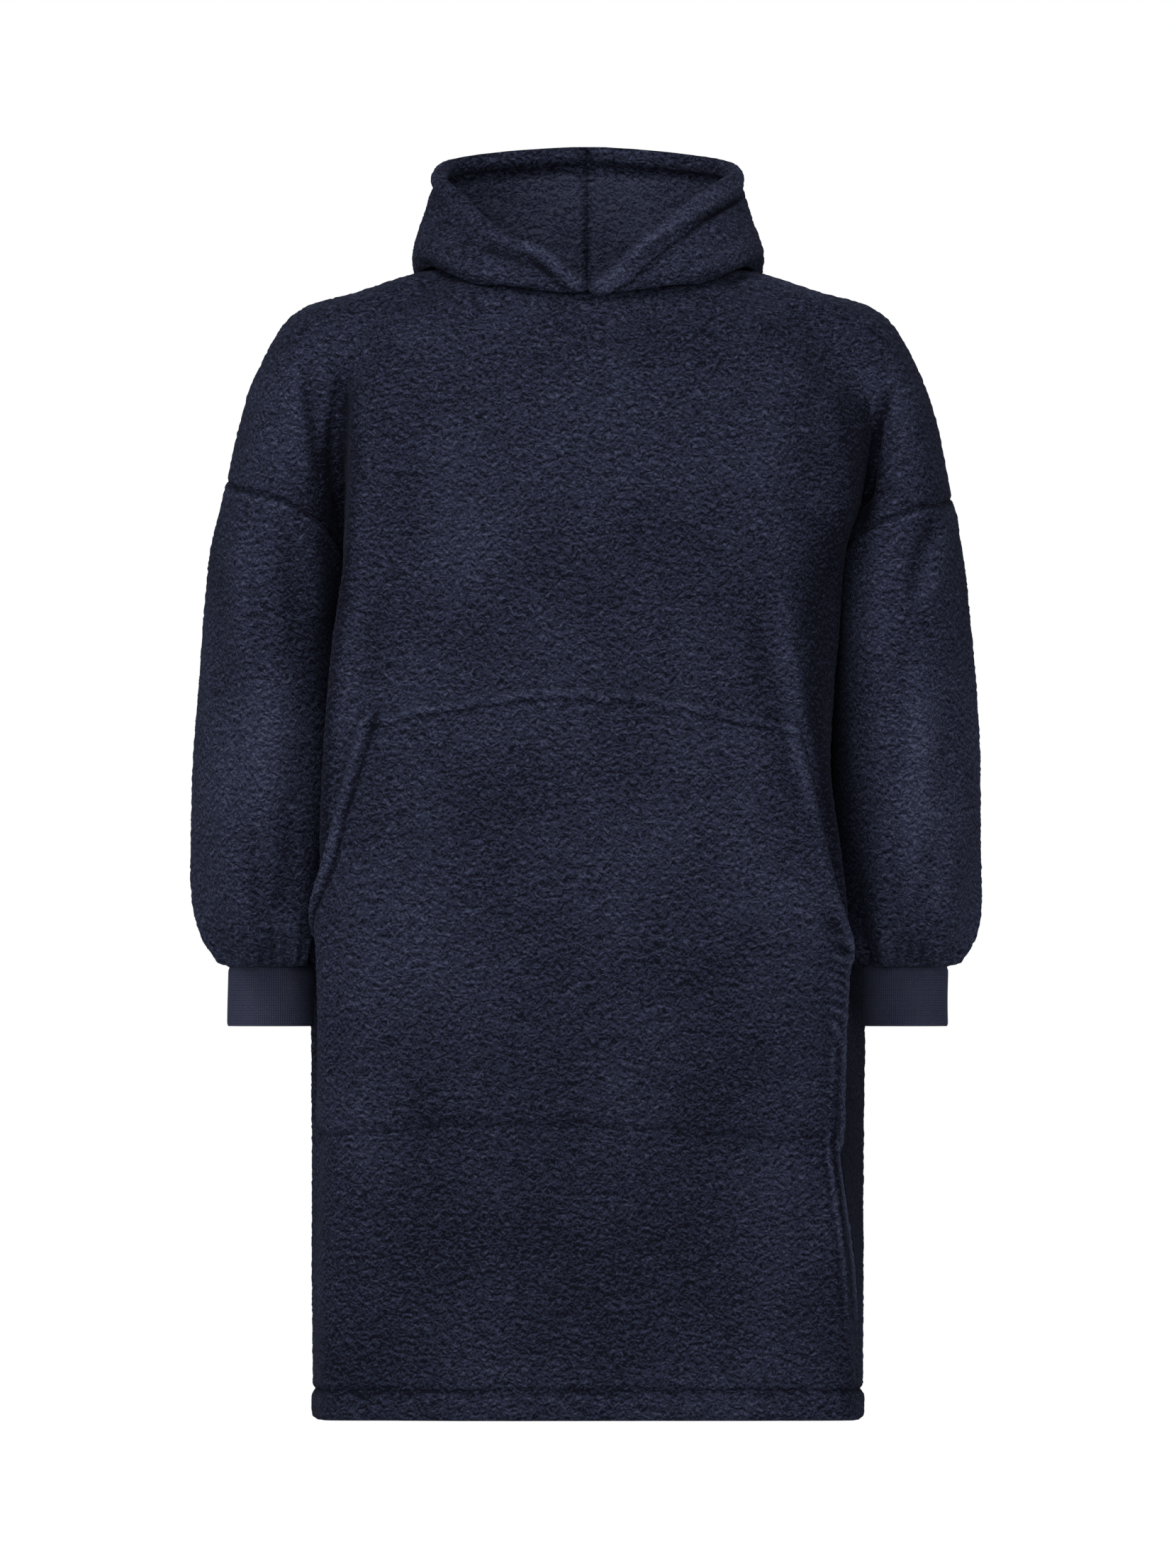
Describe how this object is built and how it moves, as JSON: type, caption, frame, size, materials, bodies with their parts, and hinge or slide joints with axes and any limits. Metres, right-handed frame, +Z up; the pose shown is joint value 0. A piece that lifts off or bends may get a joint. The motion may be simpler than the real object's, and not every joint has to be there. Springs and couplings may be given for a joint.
{
  "type": "wearable blanket hoodie",
  "caption": "Knee-length hooded blanket of teddy fleece in its worn form, with balloon sleeves, rib cuffs, an open hood and a wide front pocket.",
  "frame": {"origin": "middle of the neck base, level with the inner ends of the shoulder seams, where the wearer's neck is", "axes": "+Z up along the wearer, -Y to the wearer's front, +X to the right as seen from the front"},
  "size_m": [0.658, 0.3368, 1.0578],
  "materials": {
    "teddy_fleece": "curly navy pile, matt",
    "rib_knit": "fine navy rib knit, matt"
  },
  "bodies": {
    "root": {"front": "teddy_fleece", "back": "teddy_fleece", "sleeve_left": "teddy_fleece", "sleeve_right": "teddy_fleece", "cuff_left": "rib_knit", "cuff_right": "rib_knit", "hood_left": "teddy_fleece", "hood_right": "teddy_fleece", "pocket": "teddy_fleece"}
  },
  "joints": []
}
